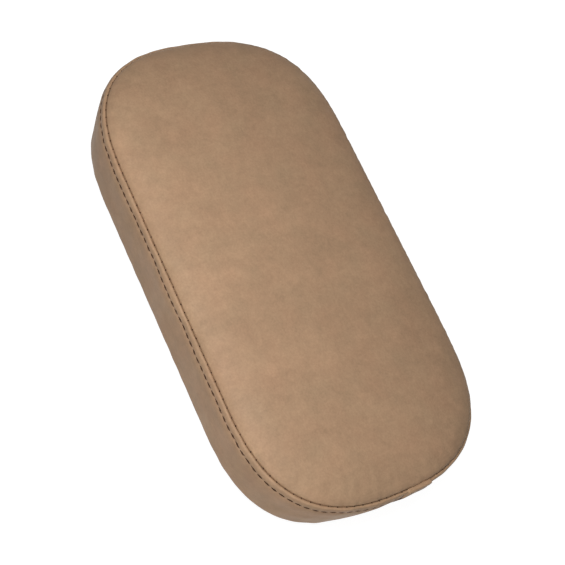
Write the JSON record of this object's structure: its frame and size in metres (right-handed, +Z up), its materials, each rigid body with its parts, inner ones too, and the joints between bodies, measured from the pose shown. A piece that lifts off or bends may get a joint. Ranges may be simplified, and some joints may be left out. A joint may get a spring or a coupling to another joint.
{
  "type": "face rest cushion",
  "caption": "Long boxed leatherette pad with rounded ends, crowned top, topstitched side band, foam filling on a plywood base, and loop strips below for sticking to a face-rest plate.",
  "frame": {"origin": "centre of the footprint, on the plane of the loop strips' lower faces", "axes": "+X along the pad towards the end where the band is lapped, +Y across the pad, +Z up through the crowned top"},
  "size_m": [0.3519, 0.1858, 0.0662],
  "materials": {
    "tan_leatherette": "satin tan leatherette with a fine grain",
    "brown_thread": "dark brown sewing thread",
    "white_fibre": "white polyester fibre wrap",
    "comfort_foam_cream": "soft open-cell foam",
    "support_foam_grey": "firm open-cell foam",
    "birch_plywood": "raw birch plywood",
    "black_nonwoven": "black non-woven dust cover cloth",
    "dark_loop_pile": "dark loop pile tape",
    "staple_steel": "zinc-plated staple wire"
  },
  "bodies": {
    "root": {"top_panel": "tan_leatherette", "side_band": "tan_leatherette", "topstitch_thread": "brown_thread", "seam_thread": "brown_thread", "lap_thread": "brown_thread", "fibre_wrap": "white_fibre", "comfort_foam": "comfort_foam_cream", "support_foam": "support_foam_grey", "base_board": "birch_plywood", "dust_cover": "black_nonwoven", "loop_strip_near": "dark_loop_pile", "loop_strip_far": "dark_loop_pile", "hem_staple_01": "staple_steel", "hem_staple_02": "staple_steel", "hem_staple_03": "staple_steel", "hem_staple_04": "staple_steel", "hem_staple_05": "staple_steel", "hem_staple_06": "staple_steel", "hem_staple_07": "staple_steel", "hem_staple_08": "staple_steel", "hem_staple_09": "staple_steel", "hem_staple_10": "staple_steel", "hem_staple_11": "staple_steel", "hem_staple_12": "staple_steel", "hem_staple_13": "staple_steel", "hem_staple_14": "staple_steel", "hem_staple_15": "staple_steel", "hem_staple_16": "staple_steel", "hem_staple_17": "staple_steel", "hem_staple_18": "staple_steel", "dust_cover_staple_01": "staple_steel", "dust_cover_staple_02": "staple_steel", "dust_cover_staple_03": "staple_steel", "dust_cover_staple_04": "staple_steel", "dust_cover_staple_05": "staple_steel", "dust_cover_staple_06": "staple_steel", "dust_cover_staple_07": "staple_steel", "dust_cover_staple_08": "staple_steel", "dust_cover_staple_09": "staple_steel", "dust_cover_staple_10": "staple_steel", "strip_staple_01": "staple_steel", "strip_staple_02": "staple_steel", "strip_staple_03": "staple_steel", "strip_staple_04": "staple_steel", "strip_staple_05": "staple_steel", "strip_staple_06": "staple_steel"}
  },
  "joints": []
}
